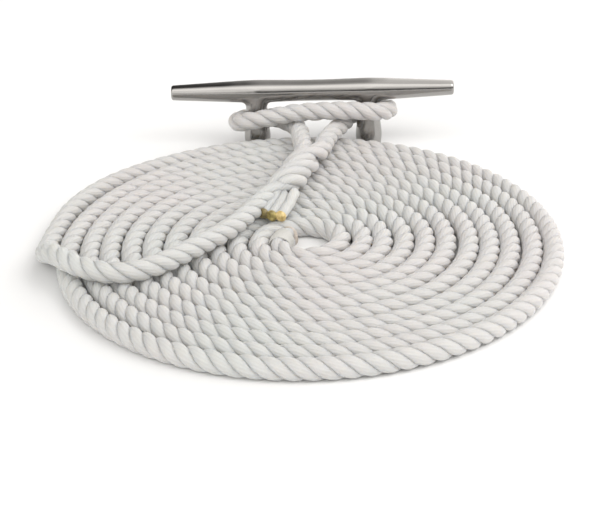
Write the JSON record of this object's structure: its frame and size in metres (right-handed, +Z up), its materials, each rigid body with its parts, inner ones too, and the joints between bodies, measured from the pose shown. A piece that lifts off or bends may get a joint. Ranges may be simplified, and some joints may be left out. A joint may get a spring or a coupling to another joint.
{
  "type": "coiled dock line",
  "caption": "Three-strand nylon dock line in a flat spiral coil on the deck, its spliced eye dropped over the posts of a polished horn cleat.",
  "frame": {"origin": "middle of the whole object's footprint, on the deck surface it lies on", "axes": "+Z up from the deck; +Y from the coil towards the cleat; +X along the cleat's horn, to the right as seen from the coil's side"},
  "size_m": [0.3204, 0.3436, 0.0501],
  "materials": {
    "polished_steel": "bright polished stainless steel",
    "nylon_rope": "white three-strand laid nylon, slightly glossy filaments",
    "whipping_twine": "waxed off-white polyester twine",
    "melted_nylon": "flame-sealed nylon, amber and slightly glossy"
  },
  "bodies": {
    "root": {"cleat": "polished_steel", "flemish_coil": "nylon_rope", "standing_part": "nylon_rope", "eye_loop": "nylon_rope", "eye_splice": "nylon_rope", "end_whipping": "whipping_twine", "melted_end": "melted_nylon", "tucked_strand_1": "melted_nylon", "tucked_strand_2": "melted_nylon", "tucked_strand_3": "melted_nylon"}
  },
  "joints": []
}
